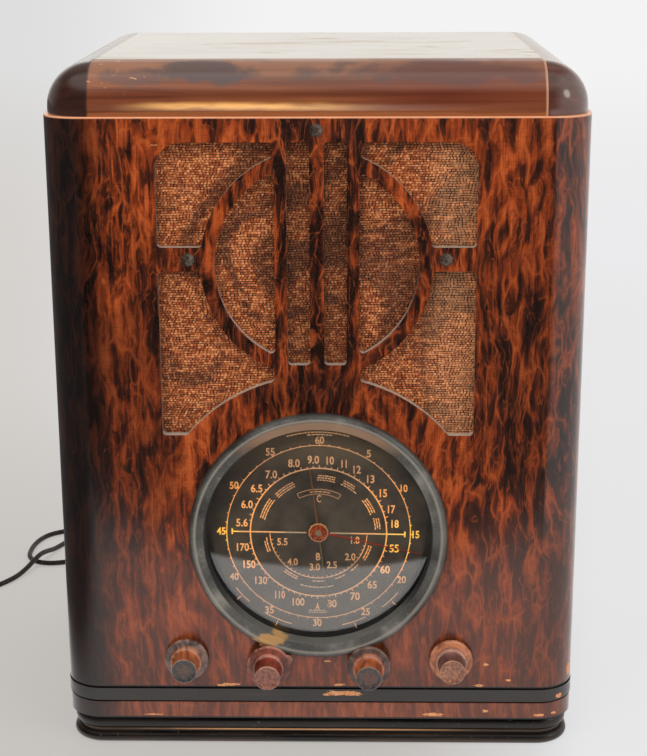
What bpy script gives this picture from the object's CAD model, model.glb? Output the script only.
# Table radio in figured veneer: woven grille cloth, round dial with hands, tubes on a chassis, mains cord
from math import ceil, cos, floor, hypot, pi, radians, sin, sqrt
from random import Random

import bmesh
import bpy
from mathutils import Matrix, Vector, noise
from mathutils.bvhtree import BVHTree


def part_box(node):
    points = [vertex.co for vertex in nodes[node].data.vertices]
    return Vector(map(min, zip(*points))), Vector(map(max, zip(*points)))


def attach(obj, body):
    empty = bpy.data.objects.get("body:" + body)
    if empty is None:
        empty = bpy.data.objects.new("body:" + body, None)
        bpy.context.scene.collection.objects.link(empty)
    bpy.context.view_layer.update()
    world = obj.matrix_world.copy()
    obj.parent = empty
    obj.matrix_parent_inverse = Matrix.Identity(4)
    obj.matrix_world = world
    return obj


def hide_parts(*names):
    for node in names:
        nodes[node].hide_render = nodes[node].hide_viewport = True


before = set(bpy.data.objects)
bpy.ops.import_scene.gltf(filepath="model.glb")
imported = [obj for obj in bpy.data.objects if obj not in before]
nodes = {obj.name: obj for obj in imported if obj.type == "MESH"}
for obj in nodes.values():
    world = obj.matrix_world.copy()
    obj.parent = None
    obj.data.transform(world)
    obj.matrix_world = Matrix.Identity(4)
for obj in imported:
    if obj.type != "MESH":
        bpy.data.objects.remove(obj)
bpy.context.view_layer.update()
mm = 0.001
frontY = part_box("front_panel")[0].y
dialZ = sum(corner.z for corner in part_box("dial_bezel")) / 2
print("frame loaded:", len(nodes), "nodes")


# small helpers for finishes
def tint(code):
    # a colour code as the linear light that the shaders take
    parts = [int(code[i:i + 2], 16) / 255 for i in (0, 2, 4)]
    return [c / 12.92 if c <= 0.04045 else ((c + 0.055) / 1.055) ** 2.4 for c in parts] + [1]


def plug(tree, socket, value):
    # a link, a colour code or a plain value
    if isinstance(value, bpy.types.NodeSocket):
        tree.links.new(value, socket)
    else:
        socket.default_value = tint(value) if isinstance(value, str) else value


def put(tree, kind, sockets=None, **settings):
    node = tree.nodes.new("ShaderNode" + kind)
    for name, value in settings.items():
        setattr(node, name, value)
    for name, value in (sockets or {}).items():
        plug(tree, node.inputs[name], value)
    return node


def setSockets(material, sockets):
    # values and links on the material's own shader
    shader = material.node_tree.nodes["Principled BSDF"]
    for name, value in sockets.items():
        plug(material.node_tree, shader.inputs[name], value)
    return material


def newFinish(name, sockets):
    material = bpy.data.materials.new(name)
    material.use_nodes = True
    return setSockets(material, sockets), material.node_tree


def place(tree, scale=(1, 1, 1), shift=(0, 0, 0), turn=(0, 0, 0)):
    where = put(tree, "TexCoord").outputs["Object"]
    return put(tree, "Mapping", {"Vector": where, "Scale": scale, "Location": shift, "Rotation": turn}).outputs[0]


def cloud(tree, vector, scale=1, detail=3, rough=0.5, warp=0, result=0):
    return put(tree, "TexNoise", {"Vector": vector, "Scale": scale, "Detail": detail,
                                  "Roughness": rough, "Distortion": warp}).outputs[result]


def reckon(tree, operation, first, second=0):
    node = put(tree, "Math", operation=operation)
    plug(tree, node.inputs[0], first)
    plug(tree, node.inputs[1], second)
    return node.outputs[0]


def times(tree, first, *others):
    for other in others:
        first = reckon(tree, "MULTIPLY", first, other)
    return first


def plus(tree, first, *others):
    for other in others:
        first = reckon(tree, "ADD", first, other)
    return first


def reckonVector(tree, operation, first, second=(0, 0, 0), result="Vector"):
    return put(tree, "VectorMath", {0: first, 1: second}, operation=operation).outputs[result]


def stretch(tree, value, low, high, toLow=0.0, toHigh=1.0):
    return put(tree, "MapRange", {"Value": value, "From Min": low, "From Max": high, "To Min": toLow,
                                  "To Max": toHigh}, interpolation_type="SMOOTHSTEP").outputs[0]


def band(tree, value, start, full, fullEnd, end, least=0.0):
    # 1 between two values, fading out to both sides
    return times(tree, stretch(tree, value, start, full, least), stretch(tree, value, end, fullEnd, least))


def ramp(tree, value, *stops):
    node = put(tree, "ValToRGB", {"Fac": value})
    elements = node.color_ramp.elements
    while len(elements) < len(stops):
        elements.new(0.5)
    for element, (position, code) in zip(elements, stops):
        element.position = position
        element.color = tint(code)
    return node.outputs[0]


def over(tree, share, below, above):
    node = put(tree, "Mix", data_type="RGBA")
    plug(tree, node.inputs[0], share)
    plug(tree, node.inputs[6], below)
    plug(tree, node.inputs[7], above)
    return node.outputs[2]


def relief(tree, height, depth, strength=1):
    return put(tree, "Bump", {"Height": height, "Distance": depth, "Strength": strength}).outputs[0]


def axis(tree, vector, letter):
    return put(tree, "SeparateXYZ", {"Vector": vector}).outputs[letter]


def coordinate(tree, letter):
    return axis(tree, place(tree), letter)


def facing(tree, letter):
    return axis(tree, put(tree, "NewGeometry").outputs["Normal"], letter)


def fromAxis(tree, x, z):
    # distance from a line that runs front to back
    return reckonVector(tree, "LENGTH", place(tree, (1, 0, 1), (-x, 0, -z)), result="Value")


def spot(tree, centre, size, ragged=0.0, grain=200):
    # 1 inside an ellipse on the front, 0 outside it, with a ragged edge
    where = put(tree, "TexCoord").outputs["Object"]
    away = reckonVector(tree, "SUBTRACT", where, (centre[0], 0, centre[1]))
    away = reckonVector(tree, "MULTIPLY", away, (1 / size[0], 0, 1 / size[1]))
    far = reckonVector(tree, "LENGTH", away, result="Value")
    if ragged:
        wobble = cloud(tree, where, grain, 4)
        far = plus(tree, far, stretch(tree, wobble, 0.2, 0.8, -ragged, ragged))
    return stretch(tree, far, 1.25, 0.75)


def paint(material, *names):
    for name in names:
        mesh = nodes[name].data
        mesh.materials.clear()
        mesh.materials.append(material)


# small helpers for meshes
def newPiece(name, mesh, material, body, smooth=True):
    if isinstance(mesh, bmesh.types.BMesh):
        data = bpy.data.meshes.new(name)
        mesh.to_mesh(data)
        mesh.free()
    else:
        data = mesh
    data.name = name
    piece = bpy.data.objects.new(name, data)
    bpy.context.scene.collection.objects.link(piece)
    data.materials.append(material)
    if smooth:
        for face in data.polygons:
            face.use_smooth = True
    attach(piece, body)
    return piece


def softenEdges(piece, angle=35):
    # flat where faces meet sharply, smooth elsewhere
    data = piece.data
    mesh = bmesh.new()
    mesh.from_mesh(data)
    for edge in mesh.edges:
        if len(edge.link_faces) == 2 and edge.calc_face_angle(0) > radians(angle):
            edge.smooth = False
    mesh.to_mesh(data)
    mesh.free()


def lathe(mesh, profile, centre, sides=96, along="y", ripple=None):
    # turns (radius, height) points about an axis; height runs to the front, or up
    rings = []
    for radius, height in profile:
        ring = []
        for k in range(sides):
            a = 2 * pi * k / sides
            r = radius if ripple is None else ripple(radius, height, a)
            if along == "y":
                point = (centre[0] + r * cos(a), centre[1] - height, centre[2] + r * sin(a))
            else:
                point = (centre[0] + r * cos(a), centre[1] + r * sin(a), centre[2] + height)
            ring.append(mesh.verts.new(point))
            if radius < 1e-7:
                break
        rings.append(ring)
    flip = 1 if along == "y" else -1
    for a, b in zip(rings, rings[1:]):
        for k in range(sides):
            corners = [a[k % len(a)], a[(k + 1) % len(a)], b[(k + 1) % len(b)], b[k % len(b)]]
            corners = list(dict.fromkeys(corners))
            if len(corners) > 2:
                mesh.faces.new(corners[::flip])
    return rings


def addBlock(mesh, centre, size, turn=0.0):
    # a block on the dial's face, turned about the axis that comes out of the front
    c, s = cos(turn), sin(turn)
    corners = []
    for sy in (-1, 1):
        for sx, sz in ((-1, -1), (1, -1), (1, 1), (-1, 1)):
            x, z = sx * size[0] / 2, sz * size[2] / 2
            corners.append(mesh.verts.new((centre[0] + x * c - z * s, centre[1] + sy * size[1] / 2,
                                           centre[2] + x * s + z * c)))
    a, b = corners[:4], corners[4:]
    mesh.faces.new(a)
    mesh.faces.new(b[::-1])
    for k in range(4):
        mesh.faces.new((a[(k + 1) % 4], a[k], b[k], b[(k + 1) % 4]))


def roundedPath(points, steps):
    # a smooth line through the points
    line = []
    last = len(points) - 1
    for i in range(last):
        a, b, c, d = (points[max(i - 1, 0)], points[i], points[i + 1], points[min(i + 2, last)])
        for k in range(steps):
            t = k / steps
            line.append(0.5 * (2 * b + (c - a) * t + (2 * a - 5 * b + 4 * c - d) * t * t
                               + (3 * b - a - 3 * c + d) * t * t * t))
    line.append(points[-1].copy())
    return line


def evenPath(line, step):
    # the same line with points a step apart
    out = [line[0].copy()]
    left = step
    for a, b in zip(line, line[1:]):
        span = (b - a).length
        done = 0.0
        while span - done >= left:
            done += left
            out.append(a.lerp(b, done / span))
            left = step
        left -= span - done
    if (out[-1] - line[-1]).length < step * 0.5:
        out.pop()
    out.append(line[-1].copy())
    return out


def sweep(mesh, line, radiusAt, sides):
    # a tube along the line, its rings kept from twisting
    heading = (line[1] - line[0]).normalized()
    side = heading.cross(Vector((0, 0, 1)))
    if side.length < 0.01:
        side = Vector((1, 0, 0))
    side.normalize()
    rings = []
    for i, point in enumerate(line):
        heading = (line[min(i + 1, len(line) - 1)] - line[max(i - 1, 0)]).normalized()
        side = (side - heading * side.dot(heading)).normalized()
        up = side.cross(heading)
        ring = []
        for k in range(sides):
            a = 2 * pi * k / sides
            ring.append(mesh.verts.new(point + (side * cos(a) + up * sin(a)) * radiusAt(i, a)))
        rings.append(ring)
    for a, b in zip(rings, rings[1:]):
        for k in range(sides):
            mesh.faces.new((a[k], b[k], b[(k + 1) % sides], a[(k + 1) % sides]))
    mesh.faces.new(rings[0])
    mesh.faces.new(rings[-1][::-1])


# camera, where the photograph was taken from
view = {"place": (0.0281381, -1.3190873, 0.6332334), "yaw": 0.0200, "pitch": 0.2762, "roll": -0.0041,
        "focalPixels": 1674.54, "pictureHeight": 756}


def addCamera():
    camera = bpy.data.cameras.new("camera")
    camera.lens = view["focalPixels"] * camera.sensor_width / view["pictureHeight"]
    camera.clip_end = 60
    holder = bpy.data.objects.new("camera", camera)
    bpy.context.scene.collection.objects.link(holder)
    yaw, pitch, roll = view["yaw"], view["pitch"], view["roll"]
    right = Vector((cos(yaw), sin(yaw), 0))
    ahead = Vector((-sin(yaw) * cos(pitch), cos(yaw) * cos(pitch), -sin(pitch)))
    up = right.cross(ahead)
    right, up = right * cos(roll) + up * sin(roll), up * cos(roll) - right * sin(roll)
    turned = Matrix((right, up, -ahead)).transposed().to_4x4()
    turned.translation = view["place"]
    holder.matrix_world = turned
    bpy.context.scene.camera = holder


addCamera()
print("camera placed")


# mains cord: cloth braid, one loop on the table, the rest wound up just past the view
cord = {"dark": "1a120e", "brown": "35261c", "dusty": "55412f", "gap": "120c09", "tape": "b5a585",
        "tapeShade": "8f7f62",
        "diameter": 5.0 * mm, "braidDepth": 0.16 * mm, "braidPitch": 4.4 * mm, "ringStep": 1.1 * mm, "sides": 16,
        "exit": (-95, 64), "coilMiddle": (-375.5, 123), "coilRadius": 36.5, "coilHeight": 3.4, "turnPitch": 5.5,
        "turns": 3, "layerHeight": 5.7, "tail": 36, "plugHeight": 13.5, "tapeHalf": 0.22 * mm, "tapeBulge": 0.25 * mm}
cordRoute = [
    (-95, 150, 64), (-95, 163, 63), (-96, 177, 59), (-99, 192, 51), (-105, 208, 39), (-114, 224, 26),
    (-126, 240, 14), (-141, 255, 6), (-158, 269, 3), (-176, 282, 2.5), (-195, 294, 2.5), (-215, 305, 2.5),
    (-235, 314, 2.5), (-256, 319, 2.5), (-274, 317, 2.5), (-288, 308, 2.5), (-296, 295, 2.5),
    (-300, 279, 2.5), (-301, 262, 2.5), (-299, 246, 2.5), (-291, 234, 2.5), (-278, 229, 2.5),
    (-264, 231, 2.5), (-251, 237, 2.5), (-238, 246, 2.5), (-227, 258, 2.5), (-224, 273, 2.5),
    (-229, 287, 2.5), (-240, 296, 2.5), (-254, 298, 2.5), (-266, 291, 2.5), (-273, 277, 2.5),
    (-278, 263, 4), (-282, 250, 7), (-286, 237, 9), (-290, 224, 8), (-295, 211, 5), (-301, 197, 3),
    (-308, 184, 2.5), (-317, 171, 2.6), (-326, 159, 3), (-334, 147, 3.3), (-338, 135, 3.4)]


def easeIn(t):
    t = min(max(t, 0), 1)
    return t * t * (3 - 2 * t)


def coilPoint(t):
    turns = cord["turns"]
    r = cord["coilRadius"] - cord["turnPitch"] * (t if t < turns else 2 * turns - t)
    z = cord["coilHeight"] + cord["layerHeight"] * easeIn((t - turns + 0.25) * 2)
    x, y = cord["coilMiddle"]
    return (x + r * cos(-2 * pi * t), y + r * sin(-2 * pi * t), z)


def cordLine():
    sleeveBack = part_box("cord_sleeve")[1].y / mm
    x, z = cord["exit"]
    free = [(x, sleeveBack, z)] + [p for p in cordRoute if p[1] > sleeveBack + 2 or p[2] < z]
    middle, plugEnd = cord["coilMiddle"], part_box("plug_body")[1].y / mm
    outer = middle[0] + cord["coilRadius"]
    low = cord["coilHeight"] + cord["layerHeight"]
    perTurn = 24
    wound = [coilPoint(i / perTurn) for i in range(2 * cord["turns"] * perTurn)]
    tail = [(outer, middle[1], low), (outer, middle[1] - cord["tail"] * 0.3, low + 0.6),
            (outer, middle[1] - cord["tail"] * 0.7, cord["plugHeight"] - 0.8),
            (outer, middle[1] - cord["tail"], cord["plugHeight"]), (outer, plugEnd, cord["plugHeight"])]
    points = [Vector(p) * mm for p in free + wound + tail]
    return roundedPath(points, 6)


def clothCordFinish():
    material, tree = newFinish("braided_cotton", {"Roughness": 0.85, "Sheen Weight": 0.35, "Sheen Roughness": 0.4})
    dust = cloud(tree, place(tree), 140, 4)
    threads = cloud(tree, place(tree), 1500, 2)
    base = ramp(tree, dust, (0.3, cord["dark"]), (0.62, cord["brown"]), (0.8, cord["dusty"]))
    base = over(tree, stretch(tree, threads, 0.35, 0.7, 0.15, 0.6), base, cord["gap"])
    return setSockets(material, {"Base Color": base, "Normal": relief(tree, threads, 0.2 * mm, 0.6)})


def addCord():
    line = evenPath(cordLine(), cord["ringStep"])
    half = cord["diameter"] / 2
    depth = cord["braidDepth"]

    def radiusAt(i, a):
        # two sets of threads wind opposite ways and pass over each other
        along = i * cord["ringStep"] / cord["braidPitch"] * 2 * pi
        return half - depth * (1 - abs(sin(a * 2 + along * 0.5) * sin(a * 2 - along * 0.5)))

    mesh = bmesh.new()
    sweep(mesh, line, radiusAt, cord["sides"])
    piece = newPiece("braided_cord", mesh, clothCordFinish(), "cabinet")
    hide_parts("power_cord", "cord_coil")
    length = sum((b - a).length for a, b in zip(line, line[1:]))
    print("cord length", round(length, 3))
    return piece, line, length


def addCordTie():
    # a flat cotton tape round the coil's turns
    low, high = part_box("cord_tie")
    inset = 0.35 * mm
    y0, y1, z0, z1 = low.y + inset, high.y - inset, low.z + inset, high.z - inset
    corner = 2.2 * mm
    loop = []
    for cy, cz, start in ((y1 - corner, z1 - corner, 0), (y0 + corner, z1 - corner, 90),
                          (y0 + corner, z0 + corner, 180), (y1 - corner, z0 + corner, 270)):
        for step in range(7):
            a = radians(start + 15 * step)
            loop.append((cy + corner * cos(a), cz + corner * sin(a), cos(a), sin(a)))
    mesh = bmesh.new()
    rows = []
    for i, (y, z, ny, nz) in enumerate(loop):
        row = []
        for side, (x, sign) in enumerate(((low.x, 1), (high.x, 1), (high.x, -1), (low.x, -1))):
            bulge = cord["tapeBulge"] * sin(i * 1.7 + side)
            out = sign * cord["tapeHalf"]
            row.append(mesh.verts.new((x + bulge, y + ny * out, z + nz * out)))
        rows.append(row)
    for a, b in zip(rows, rows[1:] + rows[:1]):
        for k in range(4):
            mesh.faces.new((a[k], a[(k + 1) % 4], b[(k + 1) % 4], b[k]))
    bmesh.ops.recalc_face_normals(mesh, faces=mesh.faces)
    material, tree = newFinish("cotton_tape", {"Roughness": 0.9, "Sheen Weight": 0.3})
    ribs = cloud(tree, place(tree, (2600, 400, 400)), 1, 2)
    setSockets(material, {"Base Color": ramp(tree, ribs, (0.3, cord["tapeShade"]), (0.7, cord["tape"])),
                          "Normal": relief(tree, ribs, 0.15 * mm)})
    piece = newPiece("cord_tape", mesh, material, "cabinet")
    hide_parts("cord_tie")
    return piece


cordPiece, cordPath, cordLength = addCord()
tapePiece = addCordTie()
print("cord made")


# figured veneer on the front, the sides and the strip
veneer = {"ground": "1f0d06", "mid": "4e1f0e", "bright": "973c11", "line": "c95f27", "grime": "140a07",
          "soot": "0a0504", "haze": "743d2a", "worn": "ffb286", "gap": "0a0706", "edge": "8f8379", "edgeUp": "c9bbab",
          "edgeGrain": "5b4c40", "inside": "94693c", "insideDark": "5c3c20", "insideFibre": "4b3018",
          "figure": (168, 35), "flames": (86, 19), "sparks": (200, 46), "footGap": (1.3 * mm, 0.7 * mm)}
stripVeneer = {**veneer, "ground": "522416", "mid": "7a3820", "bright": "a8522c", "line": "c66c3a",
               "figure": (210, 24), "flames": (120, 16), "sparks": (260, 30), "footGap": (1.5 * mm, 0.9 * mm)}
# darker patches on the front: middle, half size, share
veneerPatches = [((-0.145, 0.250), (0.042, 0.125), 0.42), ((0.0, 0.288), (0.032, 0.022), 0.4),
                 ((0.135, 0.300), (0.035, 0.09), 0.2)]


def figuredWood(tree, look, fibre, streak, nicks):
    # cloudy figure with bright lines along its cells, all bent by a slow drift
    drift = cloud(tree, place(tree, (11, 11, 6)), 1, 4, 0.6, result="Color")
    drift = reckonVector(tree, "SUBTRACT", drift, (0.5, 0.5, 0.5))
    drift = reckonVector(tree, "MULTIPLY", drift, (0.05, 0.05, 0.05))
    bent = reckonVector(tree, "ADD", place(tree), drift)

    def stretched(across, along, shift=(0, 0, 0)):
        return put(tree, "Mapping", {"Vector": bent, "Scale": (across, across, along), "Location": shift}).outputs[0]

    def cells(across, along, shift=(0, 0, 0)):
        return put(tree, "TexVoronoi", {"Vector": stretched(across, along, shift), "Scale": 1},
                   feature="DISTANCE_TO_EDGE").outputs["Distance"]

    across, along = look["figure"]
    mottle = cloud(tree, stretched(across, along), 1, 4, 0.62, 0.9)
    patch = cloud(tree, stretched(across * 0.36, along * 0.42, (4, 1, 2)), 1, 3, 0.55, 0.6)
    broad = cloud(tree, place(tree, (8, 8, 4), (4.3, 0, 1.2)), 1, 2)
    flame = cells(*look["flames"])
    spark = cells(*look["sparks"], (3.1, 1.7, 0.4))
    tone = plus(tree, times(tree, mottle, 0.62), times(tree, patch, 0.38),
                stretch(tree, flame, 0.3, 0.0, -0.03, 0.06), stretch(tree, streak, 0.3, 0.7, -0.05, 0.05),
                stretch(tree, broad, 0.35, 0.65, -0.06, 0.04))
    wood = ramp(tree, tone, (0.38, look["ground"]), (0.475, look["mid"]), (0.575, look["bright"]), (0.7, look["line"]))
    lines = times(tree, stretch(tree, flame, 0.06, 0.0), stretch(tree, patch, 0.42, 0.6, 0.05, 0.65))
    fine = times(tree, stretch(tree, spark, 0.07, 0.0), stretch(tree, mottle, 0.42, 0.58, 0.0, 0.42))
    wood = over(tree, reckon(tree, "MAXIMUM", lines, fine), wood, look["line"])
    cross = cloud(tree, place(tree, (160, 160, 900), (2, 0, 5)), 1, 3)
    wood = over(tree, stretch(tree, cross, 0.5, 0.72, 0.0, 0.4), wood, look["mid"])
    wood = over(tree, stretch(tree, fibre, 0.35, 0.75, 0.0, 0.4), wood, look["grime"])
    return over(tree, stretch(tree, nicks, 0.62, 0.75, 0.0, 0.35), wood, look["grime"])


def agedWood(tree, wood, look):
    # hazier towards the bottom, darker towards the rounded corners, most of all on the left
    wood = over(tree, stretch(tree, coordinate(tree, "Z"), 0.24, 0.09, 0.0, 0.45), wood, look["haze"])
    side = coordinate(tree, "X")
    nearFront = stretch(tree, coordinate(tree, "Y"), frontY + 75 * mm, frontY + 30 * mm)
    dark = times(tree, stretch(tree, side, -0.142, -0.174, 0.0, 0.93), nearFront)
    wood = over(tree, dark, wood, look["soot"])
    return over(tree, stretch(tree, side, 0.14, 0.18, 0.0, 0.35), wood, look["grime"])


def panelEdges(tree, wood, look, fibre):
    # dark patches, pale cut edges round the openings, worn top edge
    for centre, size, share in veneerPatches:
        wood = over(tree, times(tree, spot(tree, centre, size, 0.45, 26), share), wood, look["grime"])
    cut = times(tree, stretch(tree, reckon(tree, "ABSOLUTE", facing(tree, "Y")), 0.7, 0.5),
                stretch(tree, reckon(tree, "ABSOLUTE", coordinate(tree, "X")), 0.135, 0.125))
    cutColour = over(tree, stretch(tree, facing(tree, "Z"), 0.2, 0.6), look["edge"], look["edgeUp"])
    cutColour = over(tree, stretch(tree, fibre, 0.3, 0.7, 0.0, 0.35), cutColour, look["edgeGrain"])
    wood = over(tree, cut, wood, cutColour)
    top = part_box("front_panel")[1].z
    crest = stretch(tree, coordinate(tree, "Z"), top - 1.6 * mm, top - 0.5 * mm)
    wear = times(tree, crest, stretch(tree, cloud(tree, place(tree), 60, 4), 0.3, 0.55, 0.9, 1.0))
    return over(tree, wear, wood, look["worn"])


def plainInside(tree, wood, look, fibre, streak):
    # plain wood on the inner faces and on the rear edges
    inward = stretch(tree, times(tree, coordinate(tree, "X"), facing(tree, "X")), -0.13, -0.16)
    inward = reckon(tree, "MAXIMUM", inward, stretch(tree, facing(tree, "Y"), 0.4, 0.8))
    plain = ramp(tree, streak, (0.3, look["insideDark"]), (0.7, look["inside"]))
    plain = over(tree, stretch(tree, fibre, 0.35, 0.7, 0.0, 0.5), plain, look["insideFibre"])
    return over(tree, inward, wood, plain)


def veneerFinish(name, look, carrier, panel):
    material, tree = newFinish(name, {"Coat Weight": 0.9, "Coat Roughness": 0.17, "Coat IOR": 1.55,
                                      "Specular IOR Level": 0.12})
    fibre = cloud(tree, place(tree, (1300, 1300, 40)), 1, 3)
    streak = cloud(tree, place(tree, (260, 260, 12)), 1, 3)
    nicks = cloud(tree, place(tree, (24, 24, 1700), (0, 0, 7)), 1, 2)
    wood = agedWood(tree, figuredWood(tree, look, fibre, streak, nicks), look)
    if panel:
        wood = panelEdges(tree, wood, look, fibre)
    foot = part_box(carrier)[0].z
    start, full = look["footGap"]
    wood = over(tree, stretch(tree, coordinate(tree, "Z"), foot + start, foot + full), wood, look["gap"])
    if panel:
        wood = plainInside(tree, wood, look, fibre, streak)
    smear = cloud(tree, place(tree, (12, 12, 30)), 1, 4)
    bumps = plus(tree, fibre, times(tree, nicks, 0.7))
    return setSockets(material, {"Base Color": wood, "Roughness": stretch(tree, smear, 0.3, 0.7, 0.36, 0.55),
                                 "Normal": relief(tree, bumps, 0.05 * mm, 0.35)})


paint(veneerFinish("figured_veneer", veneer, "front_panel", True), "front_panel", "side_left", "side_right")
paint(veneerFinish("strip_veneer", stripVeneer, "plinth_strip", False), "plinth_strip")

# rolled lid: horizontal grain, bleached and stained on the roll, worn pale on the flat; darker rails
lid = {"ground": "481e0f", "mid": "7d4226", "bright": "a8663a", "haze": "b0846a", "stain": "4c4548", "gold": "fbb868",
       "redEnd": "6a2a16", "flat": "c2bfb4", "smear": "b0905c", "scuff": "e0ab78", "leftJoint": "1d1a1c",
       "rightJoint": "cc9a78", "railDark": "2a1410", "rail": "573026", "railPale": "855040", "railSoot": "140906",
       "rollDepth": 48 * mm}
# stains on the roll: middle, half size, share
lidStains = [((-0.077, 0.519), (0.034, 0.008), 0.8), ((-0.126, 0.515), (0.024, 0.0055), 0.5),
             ((0.095, 0.519), (0.078, 0.008), 0.7)]


def railWood(tree, tone):
    wood = ramp(tree, tone, (0.3, lid["railDark"]), (0.55, lid["rail"]), (0.8, lid["railPale"]))
    wood = over(tree, stretch(tree, coordinate(tree, "X"), 0.0, -0.1, 0.0, 0.6), wood, lid["railSoot"])
    return wood, 1.0


def lidWood(tree, tone):
    low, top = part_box("lid_panel")
    across, depth, height = (coordinate(tree, letter) for letter in "XYZ")
    wood = ramp(tree, tone, (0.3, lid["ground"]), (0.5, lid["mid"]), (0.72, lid["bright"]))
    wood = over(tree, stretch(tree, height, top.z - 15 * mm, top.z - 4 * mm, 0.0, 0.5), wood, lid["haze"])
    # stains under the crest, with an uneven end towards the flat
    rollEnd = low.y + lid["rollDepth"]
    uneven = stretch(tree, cloud(tree, place(tree, (26, 10, 10)), 1, 3), 0.3, 0.7, -9 * mm, 9 * mm)
    high = times(tree, stretch(tree, height, top.z - 20 * mm, top.z - 12 * mm),
                 stretch(tree, plus(tree, depth, uneven), rollEnd - 1 * mm, rollEnd - 14 * mm))
    for centre, size, share in lidStains:
        wood = over(tree, times(tree, spot(tree, centre, size, 0.5, 40), share, high), wood, lid["stain"])
    # bleached stripe low on the roll, redder wood on the right
    wave = cloud(tree, place(tree, (14, 1, 1)), 1, 2)
    level = plus(tree, height, stretch(tree, wave, 0.3, 0.7, -1.2 * mm, 1.2 * mm))
    stripe = times(tree, band(tree, level, low.z + 2.5 * mm, low.z + 6.0 * mm, low.z + 7.0 * mm, low.z + 10.5 * mm),
                   band(tree, across, -0.15, -0.09, -0.04, 0.06),
                   stretch(tree, cloud(tree, place(tree, (30, 200, 200)), 1, 4), 0.3, 0.6, 0.5, 1.0))
    wood = over(tree, stretch(tree, across, 0.0, 0.09, 0.0, 0.45), wood, lid["redEnd"])
    wood = over(tree, stretch(tree, level, low.z + 3.6 * mm, low.z + 2.2 * mm, 0.0, 0.6), wood, lid["bright"])
    wood = over(tree, stripe, wood, lid["gold"])
    # the flat is worn pale and has lost its gloss where it is smeared
    upward = facing(tree, "Z")
    flat = stretch(tree, depth, rollEnd - 5 * mm, rollEnd + 5 * mm)
    worn = times(tree, stretch(tree, upward, 0.9, 0.995), flat)
    smears = cloud(tree, place(tree, (9, 26, 20), (1.7, 0.2, 0)), 1, 5, 0.65, 0.8)
    smears = times(tree, stretch(tree, smears, 0.53, 0.66), worn)
    gloss = reckon(tree, "MAXIMUM", flat, stretch(tree, upward, 0.995, 0.9, 0.12, 1.0))
    gloss = times(tree, gloss, stretch(tree, smears, 0.0, 1.0, 1.0, 0.45))
    marks = cloud(tree, place(tree, (14, 20, 20), (0.4, 0, 0)), 1, 5, 0.6)
    wood = over(tree, times(tree, worn, stretch(tree, marks, 0.35, 0.6, 0.75, 1.0)), wood, lid["flat"])
    wood = over(tree, times(tree, smears, 0.4), wood, lid["smear"])
    # the joints with the rails, and scuffs near the left one
    for x, code, share in ((-top.x, lid["leftJoint"], 0.85), (top.x, lid["rightJoint"], 0.8)):
        near = reckon(tree, "ABSOLUTE", reckon(tree, "SUBTRACT", across, x))
        wood = over(tree, stretch(tree, near, 2.2 * mm, 0.7 * mm, 0, share), wood, code)
    scuffs = cloud(tree, place(tree, (130, 60, 520), (0, 0, 3), (0, 0.5, 0)), 1, 3)
    scuffs = times(tree, stretch(tree, scuffs, 0.64, 0.7), spot(tree, (-0.140, 0.515), (0.018, 0.012), 0.3, 90), 0.9)
    return over(tree, scuffs, wood, lid["scuff"]), gloss


def lidFinish(name, pattern):
    material, tree = newFinish(name, {"Coat Roughness": 0.12, "Coat IOR": 1.65, "Specular IOR Level": 0.2})
    grain = cloud(tree, place(tree, (5, 170, 170)), 1, 4, 0.6, 0.4)
    broad = cloud(tree, place(tree, (4, 16, 30), (0.7, 0, 0)), 1, 3)
    wood, gloss = pattern(tree, plus(tree, times(tree, grain, 0.5), times(tree, broad, 0.5)))
    smear = cloud(tree, place(tree, (14, 14, 14)), 1, 5, 0.6)
    return setSockets(material, {"Base Color": wood, "Coat Weight": gloss,
                                 "Roughness": stretch(tree, smear, 0.3, 0.7, 0.3, 0.5),
                                 "Normal": relief(tree, grain, 0.04 * mm, 0.3)})


paint(lidFinish("rolled_lid_wood", lidWood), "lid_panel")
paint(lidFinish("lid_rail_wood", railWood), "lid_rail_left", "lid_rail_right")

# black lacquer on the band and the base, with bare wood along the base's bead
lacquer = {"black": "0e0a08", "brown": "211915", "rubbed": "3a2e26", "speck": "6b625a", "bead": "eab07c",
           "foot": "5b4632"}


def lacquerFinish(name, worn, gloss, shine):
    material, tree = newFinish(name, {"Coat Weight": gloss, "Coat Roughness": 0.18, "Specular IOR Level": shine})
    rub = cloud(tree, place(tree, (16, 40, 220)), 1, 4)
    specks = cloud(tree, place(tree), 420, 2)
    base = ramp(tree, rub, (0.35, lacquer["black"]), (0.6, lacquer["brown"]), (0.8, lacquer["rubbed"]))
    base = over(tree, stretch(tree, specks, 0.68, 0.76, 0, 0.6), base, lacquer["speck"])
    if worn:
        height = coordinate(tree, "Z")
        bead = times(tree, band(tree, height, 9.4 * mm, 10.2 * mm, 11.2 * mm, 11.9 * mm),
                     band(tree, coordinate(tree, "X"), -0.16, -0.06, 0.04, 0.14, 0.1),
                     stretch(tree, cloud(tree, place(tree, (30, 30, 300)), 1, 4), 0.3, 0.45, 0.6, 1.0))
        base = over(tree, bead, base, lacquer["bead"])
        foot = times(tree, band(tree, height, 1.2 * mm, 2.2 * mm, 3.2 * mm, 4.2 * mm),
                     stretch(tree, rub, 0.4, 0.6, 0.0, 0.6))
        base = over(tree, foot, base, lacquer["foot"])
    return setSockets(material, {"Base Color": base, "Roughness": stretch(tree, rub, 0.3, 0.7, 0.3, 0.5),
                                 "Normal": relief(tree, specks, 0.05 * mm, 0.3)})


paint(lacquerFinish("band_lacquer", False, 0.5, 0.5), "trim_band")
paint(lacquerFinish("base_lacquer", True, 0.25, 0.25), "base_moulding")

# plain wood inside, bare wood in the chips
bareWood = {"early": "8a6238", "pale": "b58a55", "late": "a0743f", "fibre": "6b4726", "dirt": "4b3626",
            "chipDark": "cf8650", "chip": "f2a873", "chipPale": "f7c79c"}


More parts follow.
